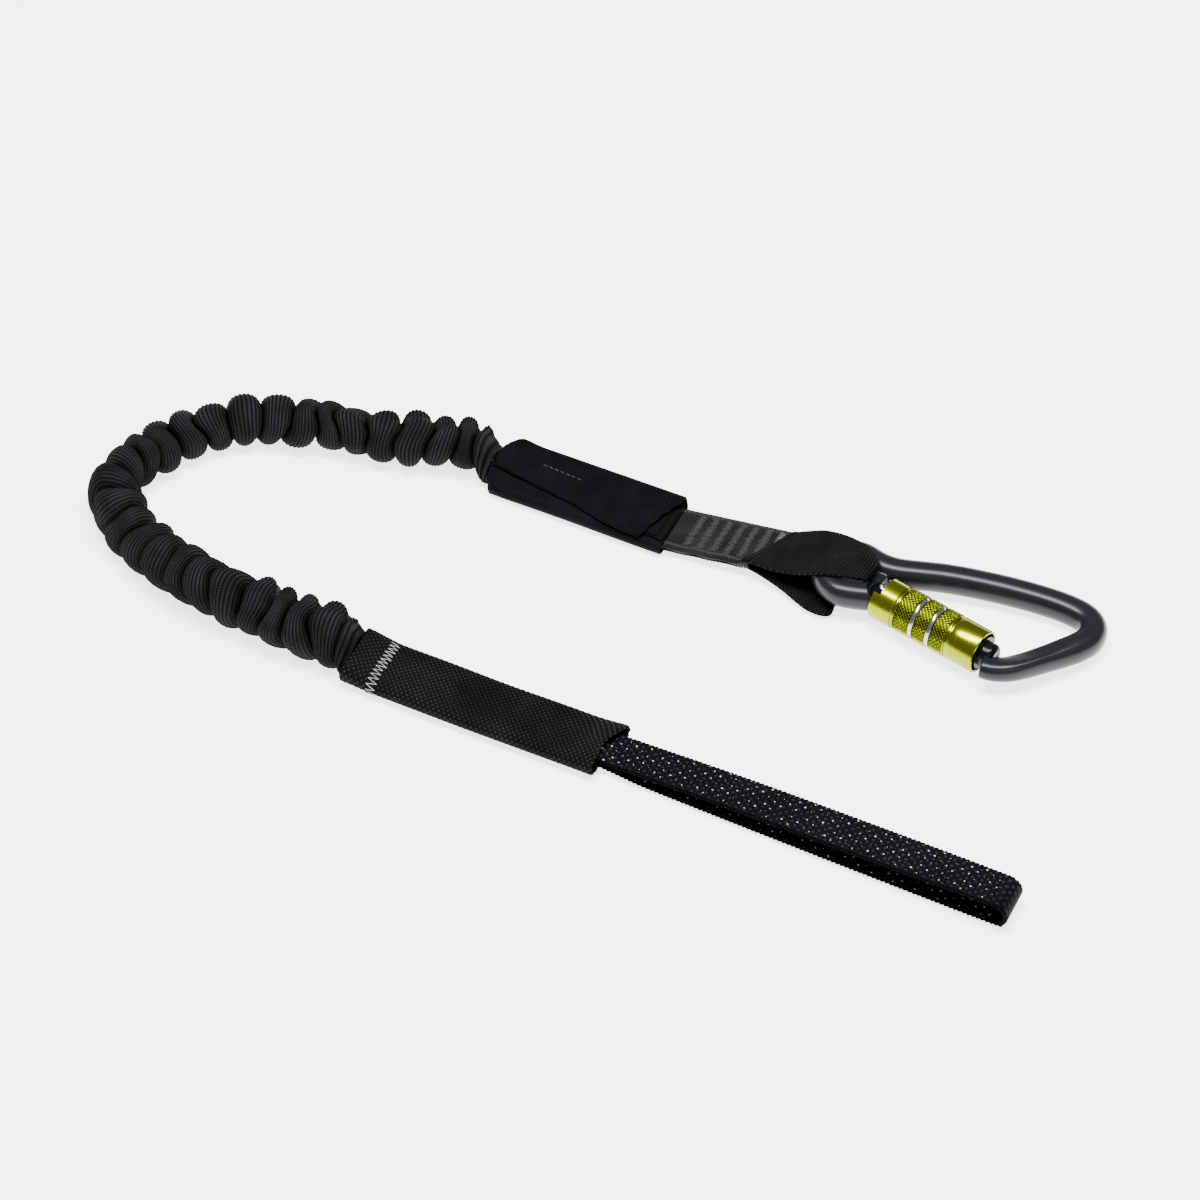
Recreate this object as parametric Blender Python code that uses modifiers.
"""Shock absorbing tool lanyard, lying in a U on a table.

A choker loop for a tool leaves a woven sleeve; a ruched elastic section runs round the bend to
a wrap cover with a hook-and-loop flap; a sewn tab and a webbing loop hold a twist-lock carabiner
in its captive eye. Metres, +Z up, the table top at Z = 0.
"""

import math

import bmesh
import bpy
from mathutils import Matrix, Vector

MM = 0.001
GAP = 0.3 * MM  # clearance kept between pieces that touch on the real lanyard

# The lay: both arms of the U are straight and parallel, turned by this angle about Z.
ARM_ANGLE = math.radians(-25.7)
NEAR_END = Vector((-89.0, -1.5, 0.0)) * MM  # where the elastic enters the near sleeve
FAR_END = Vector((-37.6, 101.7, 0.0)) * MM  # where the elastic enters the far cover
ELASTIC_ROUTE = [
    (-90.2, -0.9), (-101, 4.3), (-114, 9.5), (-127, 16.5), (-140, 24.5), (-152.5, 33),
    (-164.5, 42), (-175.5, 52), (-183.5, 63.5), (-188, 76), (-186.5, 88), (-179, 98.5),
    (-168.5, 107.5), (-156.5, 114.5), (-143, 119), (-129, 121), (-115, 120), (-101, 117),
    (-87, 113.2), (-73, 110), (-59, 107.9), (-48, 106.3), (-38.6, 102.2),
]  # fmt: skip

# The ruched elastic section.
COVER_RADIUS_NEAR = 11.6 * MM
COVER_RADIUS_FAR = 10.0 * MM
COVER_RADIUS_END = 6.0 * MM
COVER_TAPER = 16.0 * MM
COVER_WALL = 1.8 * MM
CORE_RADIUS = 3.6 * MM
BEND_START = 92.0 * MM  # distances along the route where the bend piece begins and ends
BEND_END = 196.0 * MM

# The near sleeve and the choker loop.
SLEEVE_LENGTH = 106.0 * MM
SLEEVE_WIDTH = 26.0 * MM
SLEEVE_HEIGHT = 8.4 * MM
CLOTH = 1.1 * MM
SPLICE_LENGTH = 60.0 * MM
CHOKER_WIDTH = 15.0 * MM
CHOKER_THICK = 2.0 * MM
CHOKER_START = 61.0 * MM
CHOKER_FOLD = 266.0 * MM  # centre of the fold at the loop's end
CHOKER_FOLD_RADIUS = 5.0 * MM
CHOKER_DRIFT = 4.0 * MM  # how far the loop's end lies to one side of the sleeve

# The far cover, its flap and the sewn tab.
COVER_LENGTH = 79.0 * MM
COVER_HALF = 13.2 * MM
FLAP_AXIS_Z = 7.6 * MM
TAB_WIDTH = 22.0 * MM
TAB_THICK = 3.4 * MM
TAB_END = 118.0 * MM
TAB_DRIFT = 3.8 * MM
ANCHOR_WIDTH = 19.0 * MM
ANCHOR_THICK = 1.8 * MM

# The carabiner, in a frame whose X runs along the gate from its rivet to its nose.
RIVET = Vector((115.0, 25.5, 9.0)) * MM
GATE_ANGLE = math.radians(-37.15)
TILT = math.radians(-4.5)  # it lies on its fat lock sleeve and on its wide end
BAR = 11.0 * MM
EYE_CENTRE = Vector((-16.5, 3.0)) * MM
EYE_RADIUS = 11.0 * MM
LOCK_RADIUS = 9.0 * MM
LOCK_BORE = 7.3 * MM
LOCK_START = -1.5 * MM
LOCK_END = 48.0 * MM
SHANK_RADIUS = 6.9 * MM
SHANK_END = 47.3 * MM
TIP_RADIUS = 4.0 * MM
TIP_END = 52.4 * MM
RIVET_RADIUS = 1.9 * MM


def clear_scene():
    for obj in list(bpy.data.objects):
        bpy.data.objects.remove(obj, do_unlink=True)


def new_collection(name):
    found = bpy.data.collections.new(name)
    bpy.context.scene.collection.children.link(found)
    return found


clear_scene()
PARTS = new_collection("shock_absorbing_lanyard")
CUTTERS = new_collection("cutters")


def material(name, colour, roughness, metallic=0.0):
    made = bpy.data.materials.new(name)
    made.use_nodes = True
    shader = made.node_tree.nodes["Principled BSDF"]
    shader.inputs["Base Color"].default_value = (*colour, 1.0)
    shader.inputs["Roughness"].default_value = roughness
    shader.inputs["Metallic"].default_value = metallic
    return made


RUCHED = material("charcoal_ruched_webbing", (0.030, 0.031, 0.034), 0.85)
RUBBER = material("elastic_rubber", (0.10, 0.09, 0.08), 0.7)
BALLISTIC = material("black_ballistic_nylon", (0.014, 0.014, 0.015), 0.75)
COVER_CLOTH = material("black_cover_cloth", (0.008, 0.009, 0.011), 0.6)
HOOK_TAPE = material("hook_and_loop_tape", (0.012, 0.012, 0.013), 0.95)
CHOKER_WEBBING = material("dotted_choker_webbing", (0.012, 0.013, 0.015), 0.7)
TAB_WEBBING = material("grey_tab_webbing", (0.024, 0.024, 0.025), 0.8)
ANCHOR_WEBBING = material("black_anchor_webbing", (0.010, 0.010, 0.011), 0.75)
THREAD = material("grey_thread", (0.42, 0.42, 0.43), 0.6)
DARK_THREAD = material("dark_grey_thread", (0.10, 0.10, 0.105), 0.6)
GUNMETAL = material("gunmetal_anodised_alloy", (0.035, 0.040, 0.044), 0.32, 1.0)
LIME = material("lime_anodised_alloy", (0.48, 0.52, 0.012), 0.28, 1.0)
STEEL = material("bright_steel", (0.62, 0.62, 0.64), 0.25, 1.0)


def place(obj, finish, parent=None, cutter=False):
    """Puts an object in its collection, with its finish and its parent."""
    for used in list(obj.users_collection):
        used.objects.unlink(obj)
    (CUTTERS if cutter else PARTS).objects.link(obj)
    if finish is not None:
        obj.data.materials.append(finish)
    obj.parent = parent
    if cutter:
        obj.hide_render = True
        obj.display_type = "WIRE"
    return obj


def frame_at(name, location, rotation=(0.0, 0.0, 0.0), parent=None):
    made = bpy.data.objects.new(name, None)
    PARTS.objects.link(made)
    made.location = location
    made.rotation_euler = rotation
    made.parent = parent
    return made


NEAR = frame_at("near_arm", NEAR_END, (0, 0, ARM_ANGLE))
FAR = frame_at("far_arm", FAR_END, (0, 0, ARM_ANGLE))
FLAP_HINGE = frame_at("flap_hinge", (0, COVER_HALF, FLAP_AXIS_Z), parent=FAR)


def turned_xy(x, y, angle):
    return Vector((x * math.cos(angle) - y * math.sin(angle), x * math.sin(angle) + y * math.cos(angle)))


def eye_in_far_arm():
    """The eye's centre, in the far arm's own X and Y."""
    in_world = turned_xy(EYE_CENTRE.x, EYE_CENTRE.y, GATE_ANGLE) + RIVET.xy - FAR_END.xy
    return turned_xy(in_world.x, in_world.y, -ARM_ANGLE)


EYE_FAR = eye_in_far_arm()
PIVOT_XY = FAR_END.xy + turned_xy(EYE_FAR.x - EYE_RADIUS, EYE_FAR.y, ARM_ANGLE)
PIVOT = Vector((PIVOT_XY.x, PIVOT_XY.y, RIVET.z))
EYE_PIVOT = frame_at("eye_pivot", PIVOT)
CARABINER = frame_at("carabiner_frame", RIVET - PIVOT, (TILT, 0, GATE_ANGLE), parent=EYE_PIVOT)
GATE = frame_at("gate_pivot", (0, 0, 0), parent=CARABINER)


# Shapes -------------------------------------------------------------------------------------


def smooth_route(points, per_span=12):
    """A dense smooth line through the points (Catmull-Rom)."""
    ends = [2 * points[0] - points[1], *points, 2 * points[-1] - points[-2]]
    line = []
    for a, b, c, d in zip(ends, ends[1:], ends[2:], ends[3:]):
        for step in range(per_span):
            t = step / per_span
            line.append(
                0.5 * (2 * b + (c - a) * t + (2 * a - 5 * b + 4 * c - d) * t * t + (3 * b - a - 3 * c + d) * t**3)
            )
    return line + [points[-1]]


def distances(line):
    found = [0.0]
    for a, b in zip(line, line[1:]):
        found.append(found[-1] + (b - a).length)
    return found


def point_at(line, marks, distance):
    for i in range(1, len(marks)):
        if marks[i] >= distance:
            share = (distance - marks[i - 1]) / (marks[i] - marks[i - 1])
            return line[i - 1].lerp(line[i], share)
    return line[-1]


def tube(name, points, radii, finish, parent=None, wall=None, sides=2):
    """A tube along the points; with a wall it is open at both ends, without one it is solid."""
    curve = bpy.data.curves.new(name, "CURVE")
    curve.dimensions = "3D"
    curve.bevel_depth = radii[0]
    curve.bevel_resolution = sides
    curve.use_fill_caps = wall is None
    spline = curve.splines.new("POLY")
    spline.points.add(len(points) - 1)
    for knot, point, radius in zip(spline.points, points, radii):
        knot.co = (*point, 1.0)
        knot.radius = radius / radii[0]
    made = place(bpy.data.objects.new(name, curve), finish, parent)
    if wall is not None:
        shell = made.modifiers.new("wall", "SOLIDIFY")
        shell.thickness = wall
        shell.offset = -1.0
    return made


def grid_sheet(name, rows, thickness, finish, parent, offset=0.0):
    """A strap or cloth: a grid of points made into an open surface, then given its thickness."""
    work = bmesh.new()
    grid = [[work.verts.new(point) for point in row] for row in rows]
    for row, following in zip(grid, grid[1:]):
        for i in range(len(row) - 1):
            work.faces.new((row[i], row[i + 1], following[i + 1], following[i]))
    mesh = bpy.data.meshes.new(name)
    work.to_mesh(mesh)
    work.free()
    made = place(bpy.data.objects.new(name, mesh), finish, parent)
    shell = made.modifiers.new("thickness", "SOLIDIFY")
    shell.thickness = thickness
    shell.offset = offset
    return made


def rounded_ring(width, height, radius, low=0.0, steps=4):
    """Y and Z of a rounded rectangle standing on Z = low."""
    ring = []
    for turn, (sy, sz) in enumerate(((1, 1), (-1, 1), (-1, -1), (1, -1))):
        for step in range(steps + 1):
            angle = (turn + step / steps) * math.pi / 2
            y = sy * (width / 2 - radius) + radius * math.cos(angle)
            z = low + height / 2 + sz * (height / 2 - radius) + radius * math.sin(angle)
            ring.append((y, z))
    return ring


def prism(name, ring, start, end, finish, parent, wall=None):
    """A ring drawn out along X: solid, or an open shell when a wall is given."""
    work = bmesh.new()
    first = [work.verts.new((start, y, z)) for y, z in ring]
    last = [work.verts.new((end, y, z)) for y, z in ring]
    for i in range(len(ring)):
        j = (i + 1) % len(ring)
        work.faces.new((first[i], first[j], last[j], last[i]))
    if wall is None:
        work.faces.new(first)
        work.faces.new(last)
    bmesh.ops.recalc_face_normals(work, faces=work.faces)
    mesh = bpy.data.meshes.new(name)
    work.to_mesh(mesh)
    work.free()
    made = place(bpy.data.objects.new(name, mesh), finish, parent)
    if wall is not None:
        shell = made.modifiers.new("wall", "SOLIDIFY")
        shell.thickness = wall
        shell.offset = -1.0
    return made


def plate(name, outline, low, high, finish, parent, cutter=False):
    """A flat outline in X and Y, extruded from low to high."""
    curve = bpy.data.curves.new(name, "CURVE")
    curve.dimensions = "2D"
    curve.fill_mode = "BOTH"
    curve.extrude = (high - low) / 2
    spline = curve.splines.new("POLY")
    spline.points.add(len(outline) - 1)
    for knot, (x, y) in zip(spline.points, outline):
        knot.co = (x, y, 0, 1)
    spline.use_cyclic_u = True
    made = place(bpy.data.objects.new(name, curve), finish, parent, cutter)
    made.location.z = (low + high) / 2
    return made


def as_mesh(obj):
    """A curve made a mesh in its own place, with its caps welded, so that it can be cut."""
    bpy.context.view_layer.update()
    graph = bpy.context.evaluated_depsgraph_get()
    mesh = bpy.data.meshes.new_from_object(obj.evaluated_get(graph))
    work = bmesh.new()
    work.from_mesh(mesh)
    bmesh.ops.remove_doubles(work, verts=work.verts, dist=1e-6)
    bmesh.ops.recalc_face_normals(work, faces=work.faces)
    work.to_mesh(mesh)
    work.free()
    name, parent, location, cutter = obj.name, obj.parent, obj.location.copy(), obj.hide_render
    bpy.data.objects.remove(obj, do_unlink=True)
    made = place(bpy.data.objects.new(name, mesh), None, parent, cutter)
    made.location = location
    return made


def turned(name, profile, axis, steps, finish, parent):
    """A profile of (along, radius) points spun about X or Z; one that leaves the axis makes a ring."""
    solid = profile[0][1] == 0
    if solid:
        profile = profile[::-1]
    mesh = bpy.data.meshes.new(name)
    corners = [(a, 0, r) if axis == "X" else (r, 0, a) for a, r in profile]
    edges = [(i, i + 1) for i in range(len(profile) - 1)]
    if not solid:
        edges.append((len(profile) - 1, 0))
    mesh.from_pydata(corners, edges, [])
    made = place(bpy.data.objects.new(name, mesh), finish, parent)
    spin = made.modifiers.new("spin", "SCREW")
    spin.axis = axis
    spin.steps = steps
    spin.render_steps = steps
    spin.use_merge_vertices = True
    spin.merge_threshold = 1e-6
    return made


def cylinder(name, radius, low, high, axis="Z", at=(0, 0), sides=32, finish=None, parent=None, cutter=True):
    bpy.ops.mesh.primitive_cylinder_add(vertices=sides, radius=radius, depth=high - low)
    made = bpy.context.object
    made.name = name
    middle = (low + high) / 2
    made.location = (at[0], at[1], middle) if axis == "Z" else (middle, at[0], at[1])
    if axis == "X":
        made.rotation_euler = (0, math.pi / 2, 0)
    return place(made, finish, parent, cutter)


def box(name, low, high, parent=None, finish=None, cutter=True):
    bpy.ops.mesh.primitive_cube_add(size=1)
    made = bpy.context.object
    made.name = name
    low, high = Vector(low), Vector(high)
    made.data.transform(Matrix.Diagonal((*(high - low), 1.0)))
    made.location = (low + high) / 2
    return place(made, finish, parent, cutter)


def combine(obj, other, operation="DIFFERENCE"):
    step = obj.modifiers.new(other.name, "BOOLEAN")
    step.operation = operation
    step.object = other
    return obj


def zigzag(name, at_x, half_width, teeth, reach, height, finish, parent, y=0.0, skew=0.0, wire=0.3 * MM):
    """One thread laid back and forth across a strap, as a bar tack is."""
    points = []
    for i in range(teeth + 1):
        across = y - half_width + 2 * half_width * i / teeth
        side = reach if i % 2 else -reach
        points.append(Vector((at_x + side + skew * (across - y), across, height + wire + GAP)))
    return tube(name, points, [wire] * len(points), finish, parent, sides=1)


# The elastic section ---------------------------------------------------------------------------

ROUTE = smooth_route([Vector((x, y, 0)) * MM for x, y in ELASTIC_ROUTE])
MARKS = distances(ROUTE)
ROUTE_LENGTH = MARKS[-1]


def cover_radius(distance):
    """Thicker on the near arm, thinner on the far arm, and drawn in at both ends."""
    share = min(max((distance - BEND_START) / (BEND_END - BEND_START), 0.0), 1.0)
    full = COVER_RADIUS_NEAR + (COVER_RADIUS_FAR - COVER_RADIUS_NEAR) * share
    from_end = min(distance, ROUTE_LENGTH - distance, COVER_TAPER) / COVER_TAPER
    return COVER_RADIUS_END + (full - COVER_RADIUS_END) * math.sin(from_end * math.pi / 2)


def elastic_piece(name, start, end, step, core):
    count = max(round((end - start) / step), 2)
    square = 0.5 * MM  # a short first and last span keeps the end faces square to the route
    marks = [start, start + square]
    marks += [start + (end - start) * i / count for i in range(1, count)]
    marks += [end - square, end]
    points, radii = [], []
    for distance in marks:
        radius = cover_radius(distance)
        point = point_at(ROUTE, MARKS, distance)
        points.append(Vector((point.x, point.y, radius)))
        radii.append(CORE_RADIUS if core else radius)
    if core:
        return tube(name, points, radii, RUBBER, sides=2)
    return tube(name, points, radii, RUCHED, wall=COVER_WALL, sides=4)


STRETCHES = [
    ("near", 0.0, BEND_START - GAP / 2),
    ("bend", BEND_START + GAP / 2, BEND_END - GAP / 2),
    ("far", BEND_END + GAP / 2, ROUTE_LENGTH),
]
for stretch, first_mark, last_mark in STRETCHES:
    elastic_piece("elastic_cover_" + stretch, first_mark, last_mark, 9 * MM, core=False)
    elastic_piece("elastic_core_" + stretch, first_mark, last_mark, 12 * MM, core=True)


# The near sleeve and the choker loop -----------------------------------------------------------

SLEEVE_CORNER = SLEEVE_HEIGHT / 2 - 0.1 * MM
prism(
    "near_sleeve", rounded_ring(SLEEVE_WIDTH, SLEEVE_HEIGHT, SLEEVE_CORNER), 0, SLEEVE_LENGTH,
    BALLISTIC, NEAR, wall=CLOTH,
)  # fmt: skip
prism(
    "near_splice", rounded_ring(20 * MM, 3.2 * MM, 1.5 * MM, low=1.5 * MM, steps=2), GAP, SPLICE_LENGTH,
    RUCHED, NEAR,
)  # fmt: skip
zigzag("near_splice_tack", 30 * MM, 8 * MM, 10, 3 * MM, 4.7 * MM, DARK_THREAD, NEAR)
zigzag("near_sleeve_bar_tack", 12 * MM, 9 * MM, 28, 1.9 * MM, SLEEVE_HEIGHT, THREAD, NEAR, skew=-0.12)


def choker_row(x, z):
    drift = -CHOKER_DRIFT * max(x - SLEEVE_LENGTH, 0) / (CHOKER_FOLD - SLEEVE_LENGTH)
    return [Vector((x, drift + side * CHOKER_WIDTH / 2, z)) for side in (-1, 0, 1)]


def choker_rows():
    """Out along the table, up round the fold, and back above."""
    inside = SLEEVE_LENGTH - CHOKER_START
    lower = [(0, 2.6), (inside, 2.6), (inside + 9 * MM, 1.9), (inside + 18 * MM, 1.05), (inside + 30 * MM, 1.0)]
    rows = [choker_row(CHOKER_START + x, z * MM) for x, z in lower]
    long_way = CHOKER_FOLD - CHOKER_START - inside
    rows += [choker_row(CHOKER_START + inside + long_way * i / 6, CHOKER_THICK / 2) for i in (2, 3, 4, 5, 6)]
    middle = CHOKER_THICK / 2 + CHOKER_FOLD_RADIUS
    for step in range(1, 9):
        angle = math.radians(-90 + 22.5 * step)
        rows.append(
            choker_row(
                CHOKER_FOLD + CHOKER_FOLD_RADIUS * math.cos(angle),
                middle + CHOKER_FOLD_RADIUS * math.sin(angle),
            )
        )
    top, inner_top = middle + CHOKER_FOLD_RADIUS, 5.1 * MM
    for i in (5, 4, 3, 2, 1, 0):
        share = i / 6
        rows.append(choker_row(SLEEVE_LENGTH + long_way * share, inner_top + (top - inner_top) * share**0.8))
    rows.append(choker_row(CHOKER_START, inner_top))
    return rows


grid_sheet("choker_loop", choker_rows(), CHOKER_THICK, CHOKER_WEBBING, NEAR)


# The far cover, its flap and the tab -----------------------------------------------------------


def wrap_profile():
    """Y and Z of the wrapped cloth: top layer, round the near edge, floor, and up the back."""
    low, high = CLOTH / 2, 5.65 * MM
    middle, radius = (low + high) / 2, (high - low) / 2
    edge = COVER_HALF - 2.6 * MM
    points = [(9 * MM, high), (0, high)]
    for step in range(7):
        angle = math.pi / 2 + math.pi * step / 6
        points.append((-edge + radius * math.cos(angle), middle + radius * math.sin(angle)))
    points.append((0, low))
    for step in range(4):
        angle = -math.pi / 2 + math.pi / 2 * step / 3
        points.append((edge + radius * math.cos(angle), middle + radius * math.sin(angle)))
    points.append((edge + radius, high))
    return points


grid_sheet(
    "cover_wrap", [[(x, y, z) for x in (0, COVER_LENGTH)] for y, z in wrap_profile()], CLOTH, COVER_CLOTH, FAR
)
prism(
    "far_splice", rounded_ring(20 * MM, TAB_THICK, 1.5 * MM, low=1.4 * MM, steps=2), GAP, 40 * MM - GAP,
    RUCHED, FAR,
)  # fmt: skip
hook_outline = [(4, -2), (75, -10), (75, 7), (4, 7)]
plate("hook_strip", [(x * MM, y * MM) for x, y in hook_outline], 6.5 * MM, 7.0 * MM, HOOK_TAPE, FAR)


def on_flap(points):
    return [(x * MM, y * MM - COVER_HALF) for x, y in points]


flap_outline = [(1.2, -4), (20, -5.5), (40, -9), (60, -11.5), (76, -13), (78, -10), (78, 13.2), (1.2, 13.2)]
loop_outline = [(5, -2.5), (74, -9.5), (74, 6), (5, 6)]
plate("cover_flap", on_flap(flap_outline), 0.5 * MM, 0.5 * MM + CLOTH, COVER_CLOTH, FLAP_HINGE)
plate("loop_strip", on_flap(loop_outline), -0.3 * MM, 0.2 * MM, HOOK_TAPE, FLAP_HINGE)
zigzag(
    "flap_edge_stitch", 36 * MM, 0.5 * MM, 2, 9 * MM, 0.5 * MM + CLOTH, THREAD, FLAP_HINGE,
    y=-COVER_HALF - 3 * MM, wire=0.25 * MM,
)  # fmt: skip


def tab_height(x):
    """Height of the tab's middle: level in the cover, then rising to the carabiner's eye."""
    rise = max(x - COVER_LENGTH, 0) / (TAB_END - COVER_LENGTH)
    return 3.1 * MM + 2.8 * MM * rise


def tab_side(x):
    return TAB_DRIFT * max(x - COVER_LENGTH, 0) / (TAB_END - COVER_LENGTH)


tab_rows = []
for x in (40, 60, 79, 88, 98, 108, 118):
    half = TAB_WIDTH / 2 - (1 * MM if x < 79 else 0)
    tab_rows.append(
        [Vector((x * MM, tab_side(x * MM) + side * half, tab_height(x * MM))) for side in (-1, 0, 1)]
    )
grid_sheet("tab_webbing", tab_rows, TAB_THICK, TAB_WEBBING, FAR)
for number in range(7):
    tack_x = (84.0 + 5.2 * number) * MM
    tack_top = tab_height(tack_x) + TAB_THICK / 2 + 0.25 * MM
    zigzag(
        f"tab_bar_tack_{number + 1}", tack_x, 8.5 * MM, 18, 1.1 * MM, tack_top, DARK_THREAD, FAR,
        y=tab_side(tack_x), wire=0.25 * MM,
    )  # fmt: skip


def anchor_rows():
    """Over the captive eye's bar, down through the eye, and back beneath the bar."""
    reach = BAR / 2 + 0.8 * MM + ANCHOR_THICK / 2
    columns = [ANCHOR_WIDTH * (i / 8 - 0.5) for i in range(9)]
    tab_z = tab_height(TAB_END)

    def bar_height(angle):
        y_local = EYE_CENTRE.y + EYE_RADIUS * math.sin(angle + ARM_ANGLE - GATE_ANGLE)
        return RIVET.z + y_local * math.sin(TILT)

    def on_bar(across, turn):
        angle = math.pi - across / EYE_RADIUS
        radius = EYE_RADIUS + reach * math.cos(turn)
        return Vector(
            (
                EYE_FAR.x + radius * math.cos(angle),
                EYE_FAR.y + radius * math.sin(angle),
                bar_height(angle) + reach * math.sin(turn),
            )
        )

    def leaving(across, z):
        return Vector((TAB_END + GAP, TAB_DRIFT + across, z))

    turns = [math.radians(70 + 22 * i) for i in range(11)]
    rows = []
    for share, lift in ((0, 0), (0.25, 0.14), (0.5, 0.42), (0.75, 0.76)):
        row = []
        for across in columns:
            start, end = leaving(across, tab_z + 0.95 * MM), on_bar(across, turns[0])
            point = start.lerp(end, share)
            point.z = start.z + (end.z - start.z) * lift
            row.append(point)
        rows.append(row)
    rows += [[on_bar(across, turn) for across in columns] for turn in turns]
    for share, lift in ((0.75, 0.97), (0.5, 0.8), (0.25, 0.4), (0, 0)):
        row = []
        for across in columns:
            start, end = leaving(across, tab_z - 0.95 * MM), on_bar(across, turns[-1])
            point = start.lerp(end, share)
            point.z = start.z + (end.z - start.z) * lift
            row.append(point)
        rows.append(row)
    return rows


grid_sheet("anchor_loop", anchor_rows(), ANCHOR_THICK, ANCHOR_WEBBING, FAR)


# The carabiner -----------------------------------------------------------------------------------


def bar_profile():
    """The bar's section: an octagon with broad flats and small rounded corners."""
    flat, corner = 2.6 * MM, 4.15 * MM
    half = BAR / 2
    quarter = [(half, flat), (corner, corner), (flat, half)]
    ring = []
    for turn in range(4):
        c, s = round(math.cos(turn * math.pi / 2)), round(math.sin(turn * math.pi / 2))
        ring += [(x * c - y * s, x * s + y * c) for x, y in quarter]
    return ring


def swept_bar(name, points, finish, parent):
    """The bar's section carried along a route that stays in one plane."""
    section = bpy.data.curves.new(name + "_section", "CURVE")
    section.dimensions = "2D"
    line = section.splines.new("POLY")
    ring = bar_profile()
    line.points.add(len(ring) - 1)
    for knot, (x, y) in zip(line.points, ring):
        knot.co = (x, y, 0, 1)
    line.use_cyclic_u = True
    guide = place(bpy.data.objects.new(name + "_section", section), None, parent, cutter=True)
    curve = bpy.data.curves.new(name, "CURVE")
    curve.dimensions = "3D"
    curve.twist_mode = "Z_UP"
    curve.bevel_mode = "OBJECT"
    curve.bevel_object = guide
    curve.use_fill_caps = True
    spline = curve.splines.new("POLY")
    spline.points.add(len(points) - 1)
    for knot, point in zip(spline.points, points):
        knot.co = (*point, 1)
    made = as_mesh(place(bpy.data.objects.new(name, curve), None, parent))
    bpy.data.objects.remove(guide, do_unlink=True)
    made.data.materials.append(finish)
    return made


# The bar's middle line: from the nose round the wide end and along the spine, then round the eye.
SPINE_ROUTE = [
    (50.4, -6.4), (54.5, -4.9), (58.6, -1.4), (62.3, 4.3), (66.3, 11.5), (70.2, 18.5), (73.5, 25.3),
    (75.0, 31.8), (73.2, 37.6), (68.0, 41.0), (60.0, 41.2), (49, 38.9), (35.5, 34.6), (22, 29.2),
    (12, 24.8), (4, 20.7), (-4, 16.8), (-11, 14.6),
]  # fmt: skip
ARM_ROUTE = [(-9, -5.2), (-3.4, -1.6)]


def body_route():
    round_eye = []
    for degrees in range(100, 281, 20):
        turn = Vector((math.cos(math.radians(degrees)), math.sin(math.radians(degrees))))
        round_eye.append((EYE_CENTRE + turn * EYE_RADIUS).to_3d())
    spine = [Vector((x, y, 0)) * MM for x, y in SPINE_ROUTE]
    return smooth_route(spine + round_eye + [Vector((x, y, 0)) * MM for x, y in ARM_ROUTE], per_span=2)


body = swept_bar("carabiner_body", body_route(), GUNMETAL, CARABINER)

web_outline = [(-10.2, -4), (-9.6, 4), (-10.6, 15), (-2.5, 18), (-4.2, 12), (-5.8, 8), (-6.0, 4), (-5, -2)]
web = as_mesh(
    plate("eye_web", [(x * MM, y * MM) for x, y in web_outline], -2.4 * MM, 2.4 * MM, None, CARABINER, True)
)
combine(body, web, "UNION")
tongue = cylinder("tongue", 5 * MM, -2.4 * MM, 2.4 * MM, parent=CARABINER)
combine(body, tongue, "UNION")
for side in (-1, 1):
    low, high = sorted((side * 2.45 * MM, side * 8 * MM))
    combine(body, cylinder(f"ear_room_{high:.3f}", 7.1 * MM, low, high, parent=CARABINER))
combine(body, cylinder("rivet_hole_body", RIVET_RADIUS + 0.2 * MM, -9 * MM, 9 * MM, parent=CARABINER, sides=24))
TIP_SWEEP = TIP_END + 0.4 * MM
tip_room = [(TIP_SWEEP * math.cos(a), TIP_SWEEP * math.sin(a)) for a in (math.radians(3 * i - 4.7) for i in range(9))]
tip_room += [(30 * MM, tip_room[-1][1]), (30 * MM, tip_room[0][1])]
combine(body, as_mesh(plate("tip_room", tip_room, -9 * MM, 9 * MM, None, CARABINER, True)))

rivet_half, head = 6.7 * MM, 0.65 * MM
turned(
    "gate_rivet",
    [
        (-rivet_half, 0), (-rivet_half, 2.1 * MM), (-rivet_half + 0.3 * MM, 2.5 * MM),
        (-rivet_half + head, 2.5 * MM), (-rivet_half + head, RIVET_RADIUS), (rivet_half - head, RIVET_RADIUS),
        (rivet_half - head, 2.5 * MM), (rivet_half - 0.3 * MM, 2.5 * MM), (rivet_half, 2.1 * MM), (rivet_half, 0),
    ],
    "Z", 20, STEEL, CARABINER,
)  # fmt: skip


def shank_profile():
    dome = 6.4 * MM
    points = [(-dome * math.cos(math.radians(a)), dome * math.sin(math.radians(a))) for a in range(0, 91, 15)]
    points += [(2.6 * MM, SHANK_RADIUS), (10 * MM, SHANK_RADIUS), (10 * MM, 5.2 * MM), (32 * MM, 5.2 * MM)]
    points += [(32 * MM, SHANK_RADIUS), (44.0 * MM, SHANK_RADIUS), (44.0 * MM, 6.0 * MM), (45.3 * MM, 6.0 * MM)]
    return points + [(45.3 * MM, SHANK_RADIUS), (SHANK_END, SHANK_RADIUS), (SHANK_END, 0)]


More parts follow.
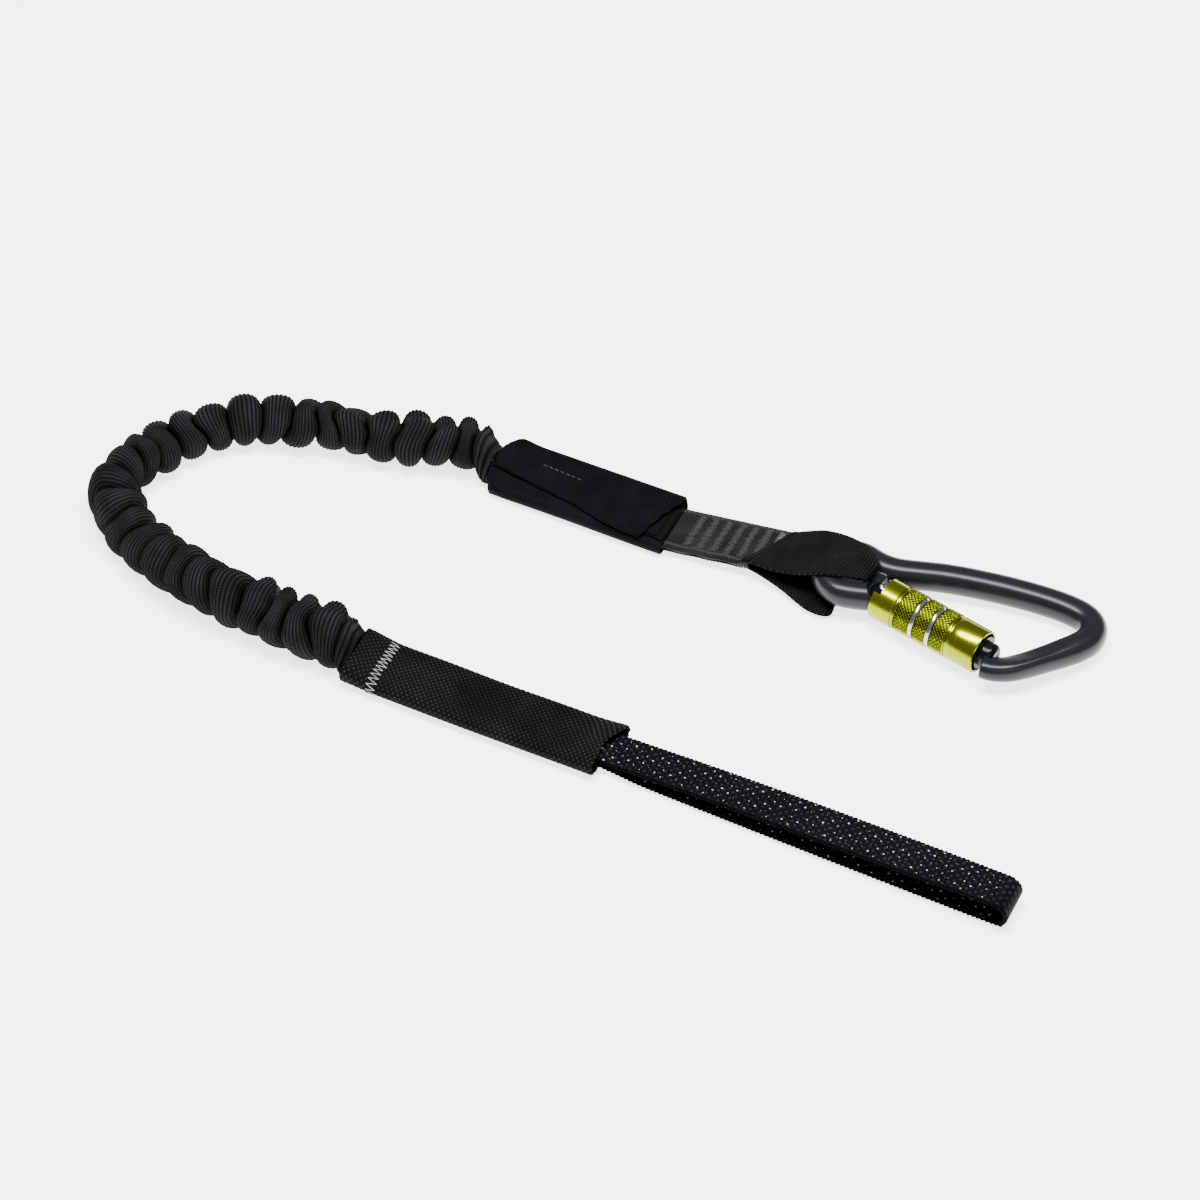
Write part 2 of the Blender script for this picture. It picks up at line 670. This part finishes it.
shank = turned("gate_shank", shank_profile(), "X", 28, GUNMETAL, GATE)
combine(shank, box("shank_slot", (-9 * MM, -9 * MM, -2.75 * MM), (6.2 * MM, 9 * MM, 2.75 * MM), GATE))
combine(shank, cylinder("plunger_bore", 2.8 * MM, 5 * MM, 30 * MM, axis="X", sides=24, parent=GATE))
for side in (-1, 1):
    low, high = sorted((side * 5.8 * MM, side * 9 * MM))
    combine(shank, box(f"head_room_{high:.3f}", (-9 * MM, -9 * MM, low), (3.1 * MM, 9 * MM, high), GATE))
combine(shank, cylinder("rivet_hole_gate", RIVET_RADIUS + 0.2 * MM, -9 * MM, 9 * MM, sides=24, parent=GATE))

tip_start = SHANK_END + GAP
turned(
    "gate_tip",
    [
        (tip_start, 0), (tip_start, TIP_RADIUS), (TIP_END - 1.6 * MM, TIP_RADIUS),
        (TIP_END - 0.5 * MM, TIP_RADIUS - 0.7 * MM), (TIP_END, TIP_RADIUS - 2.2 * MM), (TIP_END, 0),
    ],
    "X", 24, GUNMETAL, GATE,
)  # fmt: skip
turned(
    "gate_plunger", [(5.35 * MM, 0), (5.35 * MM, 1.6 * MM), (6.2 * MM, 2.4 * MM), (11 * MM, 2.4 * MM), (11 * MM, 0)],
    "X", 20, STEEL, GATE,
)  # fmt: skip


def coil(name, radius, wire, start, end, turns, finish, parent, per_turn=8):
    points = []
    for i in range(turns * per_turn + 1):
        angle = 2 * math.pi * i / per_turn
        x = start + (end - start) * i / (turns * per_turn)
        points.append(Vector((x, radius * math.cos(angle), radius * math.sin(angle))))
    return tube(name, points, [wire] * len(points), finish, parent, sides=1)


coil("gate_spring", 1.9 * MM, 0.3 * MM, 11.7 * MM, 29.3 * MM, 9, STEEL, GATE)
coil("lock_spring", 6.2 * MM, 0.45 * MM, 11 * MM, 31 * MM, 7, STEEL, GATE, per_turn=12)


def lock_profile():
    """The lock's outer side with its two grooves and two turned bands, then its bore."""
    r, bore, start, end = (value / MM for value in (LOCK_RADIUS, LOCK_BORE, LOCK_START, LOCK_END))
    profile = [(start, r - 0.3), (start + 0.3, r), (8.6, r), (8.6, r - 0.6), (9.6, r - 0.6), (9.6, r)]
    for band in (18.0, 25.8):
        profile += [(band - 0.9, r), (band - 0.9, r - 0.35), (band + 0.9, r - 0.35), (band + 0.9, r)]
    profile += [(33.8, r), (33.8, r - 0.6), (34.6, r - 0.6), (34.6, r), (end - 0.6, r), (end, r - 0.6)]
    profile += [(end, 8.0), (43.8, 8.0), (43.8, bore), (start, bore)]
    return [(along * MM, radius * MM) for along, radius in profile]


lock = turned("lock_sleeve", lock_profile(), "X", 36, LIME, GATE)
notch_low, notch_high = Vector((-4, -5.6, -12)) * MM, Vector((1.5, 5.6, 12)) * MM
combine(lock, box("lock_notches", notch_low, notch_high, GATE))

ring_profile = [(44.2, 6.3), (44.2, 7.7), (45.1, 7.7), (45.1, 6.3)]
retaining_ring = turned("retaining_ring", [(a * MM, r * MM) for a, r in ring_profile], "X", 28, STEEL, GATE)
ring_low, ring_high = Vector((43, -1.2, -9)) * MM, Vector((46, 1.2, 0)) * MM
combine(retaining_ring, box("ring_gap", ring_low, ring_high, GATE))
